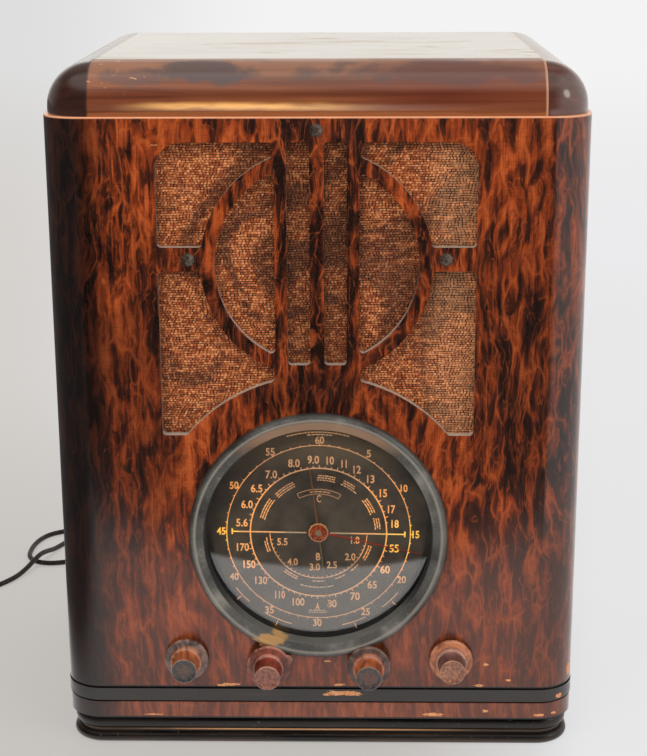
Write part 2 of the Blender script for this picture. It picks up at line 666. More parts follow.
def plainWoodFinish():
    material, tree = newFinish("plain_wood", {"Roughness": 0.75})
    rings = put(tree, "TexWave", {"Vector": place(tree, (14, 14, 1.6)), "Scale": 1, "Distortion": 5, "Detail": 3,
                                  "Detail Scale": 1.2}, bands_direction="DIAGONAL").outputs[0]
    fibre = cloud(tree, place(tree, (420, 420, 20)), 1, 3)
    wood = ramp(tree, rings, (0.15, bareWood["early"]), (0.6, bareWood["pale"]), (0.95, bareWood["late"]))
    wood = over(tree, stretch(tree, fibre, 0.35, 0.7, 0, 0.5), wood, bareWood["fibre"])
    wood = over(tree, stretch(tree, cloud(tree, place(tree), 22, 4), 0.5, 0.75, 0, 0.5), wood, bareWood["dirt"])
    return setSockets(material, {"Base Color": wood, "Normal": relief(tree, fibre, 0.1 * mm, 0.5)})


def chipFinish():
    material, tree = newFinish("bared_wood", {"Roughness": 0.7})
    fibre = cloud(tree, place(tree, (900, 900, 60)), 1, 3)
    wood = ramp(tree, fibre, (0.3, bareWood["chipDark"]), (0.55, bareWood["chip"]), (0.75, bareWood["chipPale"]))
    return setSockets(material, {"Base Color": wood, "Normal": relief(tree, fibre, 0.1 * mm)})


paint(plainWoodFinish(), "corner_posts", "bottom_board", "baffle_board")
print("woods done")

# chips in the veneer, in millimetres on the front: place, size, the piece that carries it
chips = [((-69.8, 51.4), (19, 3.4), "front_panel"), ((16.1, 51.7), (9.6, 2.2), "front_panel"),
         ((7.0, 71.5), (5.9, 1.9), "front_panel"), ((-43.0, 85.0), (5.8, 2.6), "front_panel"),
         ((20.0, 44.7), (29.0, 5.6), "trim_band"), ((8, 43.6), (10, 2.6), "trim_band"),
         ((123.3, 51.6), (9.4, 2.8), "front_panel"), ((128.7, 69.3), (4.7, 3.5), "front_panel"),
         ((145.8, 56.1), (4.5, 2.0), "front_panel"), ((193.4, 60.0), (3.0, 12.0), "front_panel"),
         ((186.0, 41.0), (5.0, 4.6), "trim_band"), ((88.6, 26.6), (17.6, 3.4), "plinth_strip"),
         ((129.3, 29.9), (4.8, 3.2), "plinth_strip"), ((170.3, 26.6), (9.0, 2.4), "plinth_strip"),
         ((182.2, 27.4), (4.5, 3.0), "plinth_strip"), ((-129.1, 25.8), (16.4, 1.3), "plinth_strip"),
         ((-114.7, 469.3), (6.5, 0.7), "front_panel"), ((-113.0, 450.0), (0.6, 5), "front_panel")]


def addChips():
    draw = Random(11)
    mesh = bmesh.new()
    surfaces = {}
    for (x, z), (width, height), carrier in chips:
        if carrier not in surfaces:
            surfaces[carrier] = BVHTree.FromPolygons([v.co for v in nodes[carrier].data.vertices],
                                                     [p.vertices for p in nodes[carrier].data.polygons])
        corners = max(11, int(width * 1.5))
        outline = []
        for k in range(corners):
            a = 2 * pi * k / corners
            r = 0.45 + 0.55 * draw.random() if abs(sin(a)) > 0.4 else 0.8 + 0.25 * draw.random()
            boxy = 1 / max(abs(cos(a)), abs(sin(a))) ** 0.6
            outline.append((x + r * boxy * width / 2 * cos(a), z + r * boxy * height / 2 * sin(a)))
        front, back = [], []
        for px, pz in outline + [(x, z)]:
            start = Vector((px * mm, frontY - 0.2, pz * mm))
            hit, normal = surfaces[carrier].ray_cast(start, Vector((0, 1, 0)))[:2]
            if hit is None or hit.y > frontY + 30 * mm:
                # past the carrier's edge: carry on at the last corner's depth
                depth = front[-1].co.y + 0.1 * mm if front else frontY
                hit, normal = Vector((px * mm, depth, pz * mm)), Vector((0, -1, 0))
            front.append(mesh.verts.new(hit + normal * 0.12 * mm))
            back.append(mesh.verts.new(hit - normal * 0.4 * mm))
        for k in range(corners):
            n = (k + 1) % corners
            mesh.faces.new((front[k], front[n], front[-1]))
            mesh.faces.new((back[n], back[k], back[-1]))
            mesh.faces.new((front[n], front[k], back[k], back[n]))
    newPiece("veneer_chips", mesh, chipFinish(), "cabinet", smooth=False)


addChips()

# grille cloth: thick yarn floats in staggered rows over a dark ground
grille = {"floatLength": 2.55 * mm, "rowHeight": 1.76 * mm, "relief": 0.6 * mm, "cell": (0.6 * mm, 0.44 * mm),
          "top": 474 * mm, "low": 251 * mm, "half": 118 * mm, "dialClear": 120 * mm, "backing": 0.1 * mm,
          "yarn": "bd5a24", "pale": "f09c5e", "dull": "80380f", "crest": "ffc08a", "gap": "140803",
          "streak": "2b150b", "fluff": "6a3010"}


def weavePoint(x, z):
    # how high the yarn swells at a point, and its own shade and streak
    sway = 1.6 * mm * noise.noise(Vector((x * 9, z * 22, 0))) + 0.8 * mm * noise.noise(Vector((x * 70, z * 70, 3)))
    row = (z + sway) / grille["rowHeight"]
    number = floor(row)
    v = row - number - 0.5
    along = x / grille["floatLength"] + 0.5 * (number % 2) + 0.2 * sin(number * 12.9)
    along += 0.9 * noise.noise(Vector((x * 45, number * 0.7, 8)))
    stitch = floor(along)
    u = along - stitch - 0.5
    luck = noise.noise(Vector((stitch * 3.7, number * 5.3, 1.7)))
    swell = max(0.0, 1 - (u / 0.47) ** 2) * max(0.0, 1 - (v / 0.46) ** 2)
    swell = min(sqrt(swell) * (0.8 + 0.35 * luck), 1.0)
    streak = noise.noise(Vector((x * 30 + 4 * noise.noise(Vector((x * 14, z * 14, 5))), z * 7, 9)))
    drag = noise.noise(Vector((x * 40, z * 260, 12)))
    return swell, 0.5 + 0.5 * luck, 0.5 + 0.8 * streak + 0.35 * drag, 1


def yarnFinish():
    material, tree = newFinish("woven_yarn", {"Roughness": 0.8, "Sheen Weight": 0.25, "Sheen Roughness": 0.45})
    weave = put(tree, "Attribute", attribute_name="weave").outputs["Color"]
    swell, luck, streak = put(tree, "SeparateColor", {"Color": weave}).outputs[:3]
    yarn = over(tree, stretch(tree, luck, 0.25, 0.8), grille["dull"], grille["pale"])
    yarn = over(tree, 0.45, yarn, grille["yarn"])
    yarn = over(tree, stretch(tree, swell, 0.62, 0.95, 0.0, 0.75), yarn, grille["crest"])
    yarn = over(tree, stretch(tree, streak, 0.15, 0.55, 0.6, 0.0), yarn, grille["streak"])
    # darker in the middle slot, brighter towards the right
    across = coordinate(tree, "X")
    aside = reckon(tree, "ABSOLUTE", across)
    yarn = over(tree, stretch(tree, aside, 0.036, 0.024, 0.0, 0.3), yarn, grille["gap"])
    yarn = over(tree, stretch(tree, across, 0.07, 0.095, 0.0, 0.22), yarn, grille["crest"])
    fluff = cloud(tree, place(tree, (900, 900, 2600)), 1, 2)
    yarn = over(tree, stretch(tree, fluff, 0.35, 0.7, 0, 0.3), yarn, grille["fluff"])
    yarn = over(tree, stretch(tree, swell, 0.1, 0.5), grille["gap"], yarn)
    return setSockets(material, {"Base Color": yarn, "Normal": relief(tree, fluff, 0.12 * mm, 0.5)})


def addGrilleCloth():
    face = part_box("grille_cloth")[0].y + 0.02 * mm
    half = grille["half"]
    cellX, cellZ = grille["cell"]
    columns = ceil(2 * half / cellX)
    rows = ceil((grille["top"] - grille["low"]) / cellZ)
    vertices, shades = [], []
    for j in range(rows + 1):
        z = grille["low"] + j * cellZ
        for i in range(columns + 1):
            x = -half + i * cellX
            shade = weavePoint(x, z)
            vertices.append((x, face + grille["relief"] * (1 - shade[0]), z))
            shades += shade
    stride = columns + 1
    faces = []
    for j in range(rows):
        for i in range(columns):
            a = j * stride + i
            if hypot(vertices[a][0], vertices[a][2] - dialZ) >= grille["dialClear"]:
                faces.append((a, a + 1, a + stride + 1, a + stride))
    mesh = bpy.data.meshes.new("woven_cloth")
    mesh.from_pydata(vertices, [], faces)
    mesh.color_attributes.new("weave", "FLOAT_COLOR", "POINT").data.foreach_set("color", shades)
    cloth = bmesh.new()
    cloth.from_mesh(mesh)
    bmesh.ops.delete(cloth, geom=[v for v in cloth.verts if not v.link_faces], context="VERTS")
    cloth.to_mesh(mesh)
    cloth.free()
    piece = newPiece("woven_cloth", mesh, yarnFinish(), "cabinet")
    thick = piece.modifiers.new("back", "SOLIDIFY")
    thick.thickness = grille["backing"]
    thick.offset = -1
    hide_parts("grille_cloth")
    return piece


clothPiece = addGrilleCloth()
print("grille cloth woven")

# bolts through the loudspeaker's board
bolt = {"dark": "3a332d", "dull": "77695d", "pale": "9a8c7e"}


def boltFinish():
    material, tree = newFinish("dull_bolt", {"Metallic": 0.75})
    grime = cloud(tree, place(tree), 500, 4)
    base = ramp(tree, grime, (0.3, bolt["dark"]), (0.6, bolt["dull"]), (0.8, bolt["pale"]))
    return setSockets(material, {"Base Color": base, "Roughness": stretch(tree, grime, 0.3, 0.7, 0.35, 0.65),
                                 "Normal": relief(tree, grime, 0.1 * mm, 0.5)})


paint(boltFinish(), "speaker_bolts")

# dial: bezel, glass, printed scale, hands; circles and figures in millimetres, tilt and perRadian in degrees
dial = {"bezel": "55544f", "bezelDark": "2c2b29", "bezelWorn": "98928a", "ridge": "a59d92", "seat": "1d1b19",
        "wall": "262524", "wallLit": "5c5a56", "wallEdge": 86.4 * mm, "tan": "a07c60", "glint": "c39455",
        "glass": "f4f6f5", "plate": "6a5c4f", "plateDark": "453b33", "plateUpper": "a68d72", "rimShade": "050403",
        "ink": "f2b684", "inkPale": "d9b792", "inkWorn": "9c6a3c", "glow": "ffc431", "glowWide": "ffa64c",
        "mainLow": "8a745a", "mainHigh": "a8693a", "vernier": "c83a2c", "handWorn": "5b3a22",
        "hub": "e0601c", "hubDark": "7a2008", "hubPin": "9a8468", "hubRim": "f0b070",
        "outerCircle": 69.8, "middleCircle": 51.8, "innerCircle": 36.9, "minuteCircle": 74.0, "upperCircle": 58.6,
        "lowerCircle": 58.9, "arcCircle": 77.8, "labelCircle": 33.2, "labelHeight": 3.8, "digitHeight": 6.2,
        "digitWidth": 3.5, "inkThickness": 0.1, "tilt": -0.95, "drop": 1.0, "perRadian": 57.3}


def bezelFinish():
    material, tree = newFinish("bezel_enamel", {"Coat Weight": 0.35, "Coat Roughness": 0.2})
    cloudy = cloud(tree, place(tree), 34, 5, 0.6)
    fine = cloud(tree, place(tree), 700, 3)
    out, height = fromAxis(tree, 0, dialZ), coordinate(tree, "Z")
    base = ramp(tree, cloudy, (0.3, dial["bezelDark"]), (0.55, dial["bezel"]), (0.78, dial["bezelWorn"]))
    base = over(tree, stretch(tree, fine, 0.55, 0.75, 0, 0.35), base, dial["bezelWorn"])
    ridge = band(tree, out, 91.4 * mm, 92.6 * mm, 93.4 * mm, 94.6 * mm)
    base = over(tree, times(tree, ridge, 0.5), base, dial["ridge"])
    base = over(tree, times(tree, stretch(tree, out, 95.4 * mm, 96.2 * mm), 0.6), base, dial["seat"])
    # the wall round the glass: grey below, with tan light and a glint at the top
    wall = over(tree, stretch(tree, height, dialZ - 40 * mm, dialZ - 70 * mm), dial["wall"], dial["wallLit"])
    inner = stretch(tree, out, dial["wallEdge"] + 0.3 * mm, dial["wallEdge"] - 0.5 * mm)
    base = over(tree, inner, base, wall)
    tan = times(tree, stretch(tree, height, dialZ + 62 * mm, dialZ + 80 * mm),
                stretch(tree, out, 92.4 * mm, 91.0 * mm, 0.0, 0.75))
    base = over(tree, tan, base, dial["tan"])
    glint = times(tree, spot(tree, (-0.0370, 0.0920), (0.0120, 0.0046), 0.4, 160), 0.85)
    base = over(tree, glint, base, dial["glint"])
    return setSockets(material, {"Base Color": base, "Roughness": stretch(tree, cloudy, 0.3, 0.7, 0.32, 0.55),
                                 "Normal": relief(tree, fine, 0.05 * mm, 0.4)})


def clearGlass(name, bend, stain):
    # smooth glass that lets the lamps' light through
    material, tree = newFinish(name, {"Roughness": 0.0, "Transmission Weight": 1.0, "IOR": bend, "Base Color": stain})
    shader = tree.nodes["Principled BSDF"]
    clear = put(tree, "BsdfTransparent", {"Color": stain})
    shadow = put(tree, "LightPath").outputs["Is Shadow Ray"]
    mixed = put(tree, "MixShader", {0: shadow, 1: shader.outputs[0], 2: clear.outputs[0]})
    output = next(node for node in tree.nodes if node.type == "OUTPUT_MATERIAL")
    tree.links.new(mixed.outputs[0], output.inputs[0])
    return material


def plateFinish():
    # lighter at the top, black in the shade of the wall below
    material, tree = newFinish("dial_plate", {})
    mottle = cloud(tree, place(tree), 60, 4)
    height = coordinate(tree, "Z")
    base = ramp(tree, mottle, (0.3, dial["plateDark"]), (0.7, dial["plate"]))
    base = over(tree, stretch(tree, height, dialZ + 45 * mm, dialZ + 80 * mm, 0.0, 0.9), base, dial["plateUpper"])
    shaded = times(tree, stretch(tree, fromAxis(tree, 0, dialZ), 80.0 * mm, 82.5 * mm),
                   stretch(tree, height, dialZ + 15 * mm, dialZ - 35 * mm))
    return setSockets(material, {"Base Color": over(tree, shaded, base, dial["rimShade"]),
                                 "Roughness": stretch(tree, mottle, 0.3, 0.7, 0.4, 0.6)})


def inkFinish(name, code):
    # the ink is lit from behind near each lamp, and a little at the top
    material, tree = newFinish(name, {"Roughness": 0.6})
    worn = cloud(tree, place(tree), 330, 3)
    low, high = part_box("dial_lamps")
    lampX, lampZ = high.x - 7.4 * mm, (low.z + high.z) / 2
    near = reckon(tree, "MAXIMUM", spot(tree, (-lampX - 12 * mm, lampZ - 9 * mm), (0.017, 0.012)),
                  spot(tree, (lampX + 7 * mm, lampZ - 14 * mm), (0.021, 0.017)))
    wide = reckon(tree, "MAXIMUM", spot(tree, (-lampX + 6 * mm, lampZ + 2 * mm), (0.032, 0.042)),
                  spot(tree, (lampX - 6 * mm, lampZ - 2 * mm), (0.032, 0.042)))
    light = over(tree, near, over(tree, wide, code, dial["glowWide"]), dial["glow"])
    strength = reckon(tree, "MAXIMUM", stretch(tree, near, 0.0, 1.0, 0.22, 1.0),
                      stretch(tree, wide, 0.0, 1.0, 0.22, 0.75))
    strength = reckon(tree, "MAXIMUM", strength,
                      stretch(tree, coordinate(tree, "Z"), dialZ + 40 * mm, dialZ + 72 * mm, 0.22, 0.5))
    base = over(tree, stretch(tree, worn, 0.3, 0.7, 0.0, 0.4), code, dial["inkWorn"])
    return setSockets(material, {"Base Color": base, "Emission Color": light, "Emission Strength": strength})


paint(bezelFinish(), "dial_bezel")
paint(clearGlass("dial_glass_clear", 1.75, dial["glass"]), "dial_glass")
paint(plateFinish(), "dial_scale")

glyphs = {}


def glyph(text):
    # one printed figure as flat triangles, in font units
    if text not in glyphs:
        curve = bpy.data.curves.new("figure", "FONT")
        curve.body = text
        curve.resolution_u = 3
        curve.offset = 0.02
        holder = bpy.data.objects.new("figure", curve)
        bpy.context.scene.collection.objects.link(holder)
        bpy.context.view_layer.update()
        flat = bpy.data.meshes.new_from_object(holder)
        points = [v.co.copy() for v in flat.vertices]
        faces = [tuple(p.vertices) for p in flat.polygons]
        bpy.data.objects.remove(holder)
        bpy.data.curves.remove(curve)
        bpy.data.meshes.remove(flat)
        glyphs[text] = (points, faces)
    return glyphs[text]


def dialPoint(radius, angle):
    a = radians(angle + dial["tilt"])
    return radius * mm * cos(a), dialZ - dial["drop"] * mm + radius * mm * sin(a)


def printFigure(mesh, text, radius, angle, height, front):
    points, faces = glyph(text)
    digits = len(text.replace(".", "")) - 0.45 * text.count("1") + 0.42 * text.count(".")
    lowX, highX = min(p.x for p in points), max(p.x for p in points)
    lowY, highY = min(p.y for p in points), max(p.y for p in points)
    width = digits * dial["digitWidth"] * height / dial["digitHeight"] * mm
    scaleX, scaleY = width / (highX - lowX), height * mm / (highY - lowY)
    thick = dial["inkThickness"] * mm
    x, z = dialPoint(radius, angle)
    layers = []
    for y in (front, front + thick):
        layers.append([mesh.verts.new((x + (p.x - (lowX + highX) / 2) * scaleX, y,
                                       z + (p.y - (lowY + highY) / 2) * scaleY)) for p in points])
    # faces in front and behind, then sides along the edges that only one face has
    rim = set()
    for face in faces:
        mesh.faces.new([layers[0][i] for i in face])
        mesh.faces.new([layers[1][i] for i in reversed(face)])
        for a, b in zip(face, face[1:] + face[:1]):
            if (b, a) in rim:
                rim.remove((b, a))
            else:
                rim.add((a, b))
    for a, b in sorted(rim):
        mesh.faces.new((layers[0][b], layers[0][a], layers[1][a], layers[1][b]))


def printRing(mesh, radius, width, front, start=0, sweepAngle=360):
    steps = max(8, int(sweepAngle / 2))
    thick = dial["inkThickness"] * mm
    closed = sweepAngle >= 360
    rows = []
    for k in range(steps if closed else steps + 1):
        row = []
        for r, y in ((radius - width / 2, front), (radius + width / 2, front),
                     (radius + width / 2, front + thick), (radius - width / 2, front + thick)):
            x, z = dialPoint(r, start + sweepAngle * k / steps)
            row.append(mesh.verts.new((x, y, z)))
        rows.append(row)
    for a, b in zip(rows, rows[1:] + rows[:1] if closed else rows[1:]):
        for k in range(4):
            mesh.faces.new((a[k], a[(k + 1) % 4], b[(k + 1) % 4], b[k]))
    if not closed:
        mesh.faces.new(rows[0][::-1])
        mesh.faces.new(rows[-1])


def printMark(mesh, radius, angle, length, width, front, across=False):
    # a short line: along the radius, or across it
    x, z = dialPoint(radius, angle)
    size = (width, length) if across else (length, width)
    addBlock(mesh, (x, front + dial["inkThickness"] * mm / 2, z),
             (size[0] * mm, dial["inkThickness"] * mm, size[1] * mm), radians(angle + dial["tilt"]))


def printLines(mesh, radius, angle, length, rows, front, draw, spacing=1.75, width=0.85):
    # rows of short dashes
    for row in range(rows):
        r = radius + (row - (rows - 1) / 2) * spacing
        reach = length * (0.72 + 0.28 * draw.random())
        done = -reach / 2
        while done < reach / 2:
            dash = 1.1 + 2.1 * draw.random()
            printMark(mesh, r, angle - (done + dash / 2) / r * dial["perRadian"], dash, width, front, True)
            done += dash + 0.55


# printed figures and their angles, the inner ones with their radius too
minuteFigures = {5 * k: 90 - 30 * k for k in range(1, 13)}
upperFigures = {"5.6": 173, "6.0": 158, "6.5": 143.5, "7.0": 128, "8.0": 109, "9.0": 94.5, "10": 82, "11": 71.5,
                "12": 61, "13": 48.5, "15": 34, "17": 20, "18": 8.2}
lowerFigures = {"170": 192.5, "150": 207, "130": 222.5, "110": 240.6, "100": 255.6, "80": 280.8, "70": 299.2,
                "65": 315, "60": 330.5, "55": 348.6}
innerFigures = {"5.5": (196, 28.5), "4.0": (231, 31), "3.0": (265, 28), "2.5": (292, 28), "2.0": (322, 31),
                "1.8": (349, 28.5)}
# rows of dashes: radius, angle, length, how many rows
dashRows = [(43.9, 155.2, 19, 3), (43, 126.7, 17, 3), (44.2, 83.3, 17, 3), (44.4, 60, 12, 3), (44, 30.6, 14, 3),
            (45.1, 10.6, 10, 3), (40.6, 197, 10, 2), (40.6, 337.8, 12, 2), (40.2, 239.7, 12, 2), (39.6, 270, 9, 1),
            (39.6, 296, 8, 1), (39.6, 316, 7, 1), (80.3, 91, 52, 1), (78.4, 90, 20, 1), (33.2, 90, 18, 1)]
# marked arcs in the lower half: angle, length
arcs = [(222, 15), (247.3, 22), (291.3, 19), (316, 17)]


def addDialPrint():
    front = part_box("dial_scale")[0].y - dial["inkThickness"] * mm * 0.9
    draw = Random(5)
    mesh = bmesh.new()
    printRing(mesh, dial["outerCircle"], 0.65, front)
    printRing(mesh, dial["middleCircle"], 1.0, front)
    printRing(mesh, dial["innerCircle"], 0.65, front, 182, 176)
    # frame of the label at the top
    label, tall = dial["labelCircle"], dial["labelHeight"]
    for radius in (label - tall / 2, label + tall / 2):
        printRing(mesh, radius, 0.4, front, 62, 56)
    for angle in (62, 118):
        printMark(mesh, label, angle, tall, 0.4, front)
    # divisions of the three circles, longer at each figure
    for k in range(60):
        long = k % 5 == 0
        printMark(mesh, dial["outerCircle"] + (0.9 if long else 0.5), 6 * k, 2.6 if long else 1.6, 0.7, front)
    for k in range(72):
        if abs(sin(radians(5 * k))) > 0.09:
            long = k % 3 == 0
            printMark(mesh, dial["middleCircle"] + (1.3 if long else 0.9), 5 * k, 2.4 if long else 1.5, 0.65, front)
    for k in range(29):
        printMark(mesh, dial["innerCircle"] - 0.9, 190 + 5.7 * k, 2.0 if k % 4 == 0 else 1.2, 0.55, front)
    for value, angle in minuteFigures.items():
        printFigure(mesh, str(value), dial["minuteCircle"], angle, 6.0, front)
    for figures, radius in ((upperFigures, dial["upperCircle"]), (lowerFigures, dial["lowerCircle"])):
        for text, angle in figures.items():
            printFigure(mesh, text, radius, angle, 6.4, front)
    for text, (angle, radius) in innerFigures.items():
        printFigure(mesh, text, radius, angle, 5.8, front)
    for letter, radius, angle in (("C", 27.5, 90), ("B", 19.4, 270), ("A", 60.5, 270)):
        printFigure(mesh, letter, radius, angle, 6.0, front)
    for radius, angle, length, rows in dashRows:
        printLines(mesh, radius, angle, length, rows, front, draw)
    circle = dial["arcCircle"]
    for angle, length in arcs:
        pieces = 8
        for k in range(pieces):
            turn = (k - (pieces - 1) / 2) * length / pieces / circle * dial["perRadian"]
            printMark(mesh, circle, angle + turn, length / pieces * 1.05, 0.7, front, True)
        printMark(mesh, 81.4, angle, 4.2, 0.75, front)
    newPiece("dial_print", mesh, inkFinish("dial_ink", dial["ink"]), "cabinet", smooth=False)
    faint = bmesh.new()
    printLines(faint, 44.6, 270, 26, 1, front, draw)
    printLines(faint, 64.6, 270, 16, 2, front, draw, 1.6, 0.7)
    for angle in (0, 180):
        printMark(faint, 37.5, angle, 57, 1.0, front - 0.1 * mm)
        printMark(faint, 65.6, angle, 4.6, 1.2, front - 0.1 * mm, True)
    newPiece("dial_line", faint, inkFinish("dial_line_ink", dial["inkPale"]), "cabinet", smooth=False)


addDialPrint()


def handFinish(name, low, high, along):
    material, tree = newFinish(name, {"Roughness": 0.4, "Metallic": 0.3})
    rub = cloud(tree, place(tree), 500, 3)
    base = over(tree, stretch(tree, coordinate(tree, "Z"), dialZ - along, dialZ + along), low, high)
    base = over(tree, stretch(tree, rub, 0.4, 0.7, 0, 0.4), base, dial["handWorn"])
    return setSockets(material, {"Base Color": base, "Normal": relief(tree, rub, 0.04 * mm, 0.4)})


def addHand(name, blades, hubRadius, material, body):
    # thin stamped hand: a ring on its tube and blades with a shallow ridge
    low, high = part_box(name)
    front, back = low.y, high.y
    middle, bore, sides = (front + back) / 2, 3.4, 48
    mesh = bmesh.new()
    rings = []
    for r, y in ((bore, front), (hubRadius, front), (hubRadius, back), (bore, back)):
        rings.append([mesh.verts.new((r * mm * cos(2 * pi * k / sides), y, dialZ + r * mm * sin(2 * pi * k / sides)))
                      for k in range(sides)])
    for a, b in zip(rings, rings[1:] + rings[:1]):
        for k in range(sides):
            mesh.faces.new((a[k], a[(k + 1) % sides], b[(k + 1) % sides], b[k]))
    for angle, start, end, wide, tip in blades:
        a = radians(angle)
        sections = []
        for r, half in ((start, wide / 2), (end - 0.6, tip / 2), (end, tip / 4)):
            section = []
            for u, y in ((-half, back), (-half, middle), (0, front), (half, middle), (half, back)):
                x, z = r * cos(a) - u * sin(a), r * sin(a) + u * cos(a)
                section.append(mesh.verts.new((x * mm, y, dialZ + z * mm)))
            sections.append(section)
        for p, q in zip(sections, sections[1:]):
            for k in range(5):
                mesh.faces.new((p[k], p[(k + 1) % 5], q[(k + 1) % 5], q[k]))
        mesh.faces.new(sections[0][::-1])
        mesh.faces.new(sections[-1])
    bmesh.ops.recalc_face_normals(mesh, faces=mesh.faces)
    piece = newPiece(name + "_stamped", mesh, material, body, smooth=False)
    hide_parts(name)


addHand("main_hand", [(97, 4, 53.5, 1.0, 0.6), (277, 4, 63.5, 1.1, 0.7)], 6.5,
        handFinish("hand_gilt_paint", dial["mainLow"], dial["mainHigh"], 0.01), "dial_drive")
addHand("vernier_hand", [(-12.7, 4, 80.5, 1.3, 0.5)], 6.0,
        handFinish("hand_red_paint", dial["vernier"], dial["vernier"], 0.05), "vernier")


def hubFinish():
    material, tree = newFinish("hub_cap_lacquer", {"Roughness": 0.3, "Coat Weight": 0.6, "Subsurface Weight": 0.1})
    out = fromAxis(tree, 0, dialZ)
    dots = cloud(tree, place(tree), 700, 3)
    base = over(tree, stretch(tree, dots, 0.35, 0.7), dial["hubDark"], dial["hub"])
    base = over(tree, stretch(tree, out, 2.6 * mm, 2.2 * mm), base, dial["hubPin"])
    base = over(tree, stretch(tree, out, 6.3 * mm, 7.0 * mm, 0, 0.8), base, dial["hubRim"])
    return setSockets(material, {"Base Color": base, "Normal": relief(tree, dots, 0.1 * mm, 0.5)})


def addHub():
    # low pressed cap with a ribbed edge and a metal centre
    low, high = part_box("hand_hub")
    radius = (high.x - low.x) / 2
    tall = high.y - low.y
    profile = [(0, 0), (1, 0), (1, 0.35), (0.9, 0.7), (0.6, 0.86), (0.34, 0.9), (0.3, 1), (0, 1)]

    def ribs(r, height, a):
        return r - (0.35 * mm * (0.5 + 0.5 * cos(12 * a)) if 3 * mm < r else 0)

    mesh = bmesh.new()
    lathe(mesh, [(radius * r, tall * h) for r, h in profile], (0, high.y, dialZ), 96, "y", ribs)
    bmesh.ops.recalc_face_normals(mesh, faces=mesh.faces)
    piece = newPiece("hub_cap", mesh, hubFinish(), "dial_drive")
    softenEdges(piece)
    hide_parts("hand_hub")


addHub()
print("dial done")

# turned knobs: skirt, grip and dished face; each has aged in its own way
knobs = {
    "volume_knob": {"body": "volume", "skirt": "826a63", "skirtDark": "453833", "grip": "b8683a", "gripDark": "703c22",
                    "face": "4e4a49", "faceDark": "2b2827", "rim": "c79a80"},
    "band_knob": {"body": "band", "skirt": "944c38", "skirtDark": "4e261c", "grip": "93331b", "gripDark": "45150c",
                  "face": "a06a58", "faceDark": "6a3a2e", "rim": "d8a08a"},
    "tone_knob": {"body": "tone", "skirt": "6a5048", "skirtDark": "30241f", "grip": "bb6030", "gripDark": "6a321a",
                  "face": "544846", "faceDark": "2d2423", "rim": "b08c7c"},
    "tuning_knob": {"body": "tuning", "skirt": "cc8056", "skirtDark": "7c4830", "grip": "94665c", "gripDark": "543834",
                    "face": "b0785a", "faceDark": "74483a", "rim": "dca488"},
}
# the knobs' shape in millimetres
knobShape = {"skirt": 16.5, "skirtThick": 4.0, "neck": 11.9, "collar": 8.2, "grip": 10.1, "face": 9.7,
             "length": 23.4, "rimRound": 0.9, "dish": 0.8, "bore": 3.25}


def knobFinish(name, look, centre, faceY):
    material, tree = newFinish(name, {"Coat Weight": 0.35, "Coat Roughness": 0.25})
    swirl = cloud(tree, place(tree, (90, 30, 90)), 1, 4, 0.6, 1.2)
    scuff = cloud(tree, place(tree), 420, 4, 0.6)
    out = fromAxis(tree, *centre)
    depth = coordinate(tree, "Y")
    skirt = over(tree, stretch(tree, swirl, 0.35, 0.65), look["skirtDark"], look["skirt"])
    grip = over(tree, stretch(tree, swirl, 0.35, 0.65), look["gripDark"], look["grip"])
    face = over(tree, stretch(tree, scuff, 0.35, 0.65), look["faceDark"], look["face"])
    front = stretch(tree, depth, faceY + 1.3 * mm, faceY + 0.9 * mm)
    base = over(tree, stretch(tree, out, 12.6 * mm, 12.0 * mm), skirt, grip)
    base = over(tree, front, base, face)
    # paler where fingers rub: the face's rim, the collar and the skirt's edge
    collar = times(tree, band(tree, out, 10.8 * mm, 11.2 * mm, 11.8 * mm, 12.1 * mm),
                   stretch(tree, depth, faceY + 18.5 * mm, faceY + 17.5 * mm))
    rim = reckon(tree, "MAXIMUM", times(tree, front, stretch(tree, out, 9.1 * mm, 9.4 * mm)), collar)
    base = over(tree, times(tree, rim, stretch(tree, swirl, 0.35, 0.6, 0.2, 0.7)), base, look["rim"])
    edge = times(tree, stretch(tree, out, 15.7 * mm, 16.3 * mm), stretch(tree, swirl, 0.4, 0.65, 0.05, 0.5))
    base = over(tree, edge, base, look["rim"])
    return setSockets(material, {"Base Color": base, "Roughness": stretch(tree, scuff, 0.3, 0.7, 0.3, 0.6),
                                 "Normal": relief(tree, scuff, 0.06 * mm, 0.5)})


def arcPoints(centreR, centreH, radius, start, end, steps=5):
    points = []
    for k in range(steps + 1):
        a = radians(start + (end - start) * k / steps)
        points.append((centreR + radius * cos(a), centreH + radius * sin(a)))
    return points


